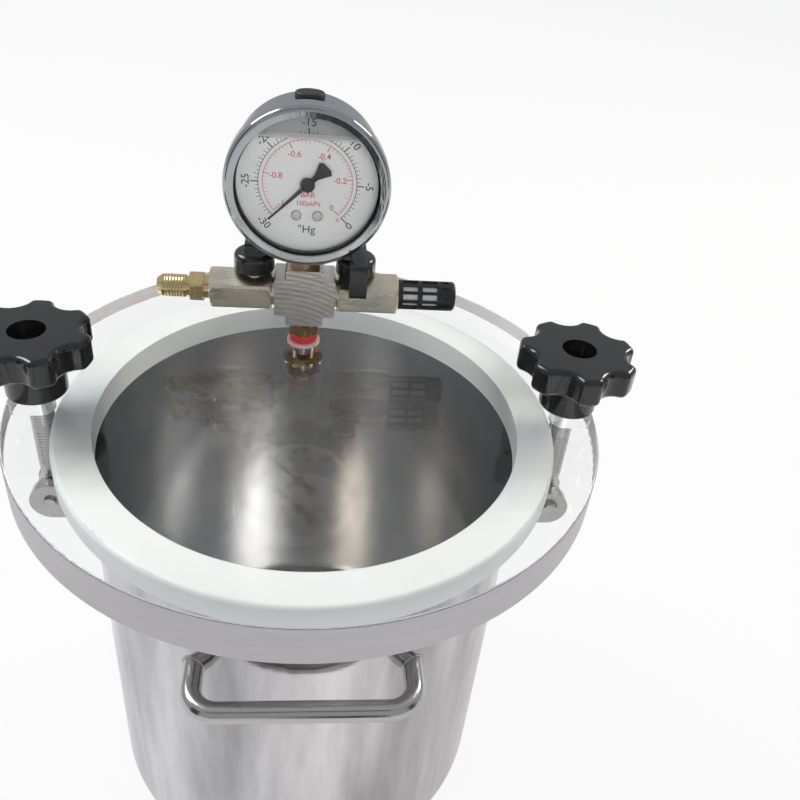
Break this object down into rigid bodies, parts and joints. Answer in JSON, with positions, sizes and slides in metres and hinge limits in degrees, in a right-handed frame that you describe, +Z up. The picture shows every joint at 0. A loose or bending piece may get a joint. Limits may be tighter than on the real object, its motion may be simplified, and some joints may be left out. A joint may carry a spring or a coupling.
{
  "type": "vacuum chamber",
  "caption": "Stainless vacuum chamber pot with a thick clear lid, swing-bolt star knobs, white sealing ring and a lid manifold carrying a vacuum gauge, ball valves and a silencer.",
  "frame": {"origin": "centre of the pot floor's underside", "axes": "+X along the clamp line to the right clamp, -Y to the front handle, +Z up"},
  "size_m": [0.2786, 0.25, 0.339],
  "materials": {
    "steel_polished": "mirror polished stainless steel",
    "steel_bright": "bright turned stainless steel",
    "nickel": "nickel plated, satin machined",
    "brass": "bright brass",
    "brass_zinc": "yellow passivated",
    "acrylic": "clear polished acrylic, machined edge",
    "gauge_glass": "clear window",
    "silicone_white": "matt translucent white silicone",
    "rubber_red": "soft red seal",
    "washer_pink": "pale flat washer",
    "rubber_black": "matt black rubber",
    "plastic_black": "glossy black",
    "plastic_black_matte": "satin black",
    "dial_white": "matt white dial",
    "pointer_black": "matt black",
    "filter_white": "porous white liner"
  },
  "bodies": {
    "chamber": {"pot_shell": "steel_polished", "pot_rim": "steel_polished", "sealing_ring": "silicone_white", "lid_plate": "acrylic", "handle_front": "steel_polished", "handle_rear": "steel_polished", "lug_left": "steel_bright", "lug_right": "steel_bright", "pivot_pin_left": "steel_bright", "pivot_pin_right": "steel_bright", "lid_stem": "brass", "stem_seal": "rubber_red", "stem_washer": "washer_pink", "stem_nut": "brass", "manifold_block": "nickel", "valve_body_left": "nickel", "valve_body_right": "nickel", "flare_adapter": "brass_zinc", "silencer_body": "plastic_black_matte", "silencer_filter": "filter_white", "gauge_case": "steel_polished", "gauge_bezel": "steel_polished", "gauge_window": "gauge_glass", "gauge_window_seal": "rubber_black", "gauge_dial": "dial_white", "gauge_stop_pin": "brass", "gauge_dial_screws": "steel_bright", "gauge_movement": "brass", "bourdon_tube": "brass", "gauge_socket": "brass", "gauge_fill_plug": "rubber_black"},
    "needle": {"gauge_pointer": "pointer_black"},
    "left_bolt": {"swing_bolt_left": "steel_bright"},
    "left_bush": {"knob_insert_left": "brass"},
    "left_knob": {"star_knob_left": "plastic_black"},
    "left_lever": {"valve_ball_left": "steel_bright", "valve_stem_left": "brass", "valve_lever_left": "plastic_black", "lever_screw_left": "steel_bright"},
    "right_bolt": {"swing_bolt_right": "steel_bright"},
    "right_bush": {"knob_insert_right": "brass"},
    "right_knob": {"star_knob_right": "plastic_black"},
    "right_lever": {"valve_ball_right": "steel_bright", "valve_stem_right": "brass", "valve_lever_right": "plastic_black", "lever_screw_right": "steel_bright"}
  },
  "joints": [
    {"name": "left_bolt_swing", "type": "hinge", "parent": "chamber", "child": "left_bolt", "pos_m": [-0.114, 0, 0.161], "axis": [0, -1, 0], "range_deg": [0, 110]},
    {"name": "left_knob_travel", "type": "slide", "parent": "left_bolt", "child": "left_bush", "axis": [0, 0, 1], "range_m": [0, 0.015]},
    {"name": "left_knob_spin", "type": "hinge", "parent": "left_bush", "child": "left_knob", "pos_m": [-0.114, 0, 0.224], "axis": [0, 0, 1], "range_deg": [0, 3600]},
    {"name": "left_valve_turn", "type": "hinge", "parent": "chamber", "child": "left_lever", "pos_m": [-0.0267, 0.047, 0.25], "axis": [0, 0, 1], "range_deg": [0, 90]},
    {"name": "right_bolt_swing", "type": "hinge", "parent": "chamber", "child": "right_bolt", "pos_m": [0.114, 0, 0.161], "axis": [0, 1, 0], "range_deg": [0, 110]},
    {"name": "right_knob_travel", "type": "slide", "parent": "right_bolt", "child": "right_bush", "axis": [0, 0, 1], "range_m": [0, 0.015]},
    {"name": "right_knob_spin", "type": "hinge", "parent": "right_bush", "child": "right_knob", "pos_m": [0.114, 0, 0.224], "axis": [0, 0, 1], "range_deg": [0, 3600]},
    {"name": "right_valve_turn", "type": "hinge", "parent": "chamber", "child": "right_lever", "pos_m": [0.0187, 0.047, 0.25], "axis": [0, 0, 1], "range_deg": [0, 90]},
    {"name": "gauge_needle", "type": "hinge", "parent": "chamber", "child": "needle", "pos_m": [-0.004, 0.04, 0.3045], "axis": [0, 1, 0], "range_deg": [0, 270]}
  ],
  "couplings": [
    {"joint": "left_knob_travel", "follows": "left_knob_spin", "m_per_rad": 0.00023873},
    {"joint": "right_knob_travel", "follows": "right_knob_spin", "m_per_rad": 0.00023873}
  ]
}
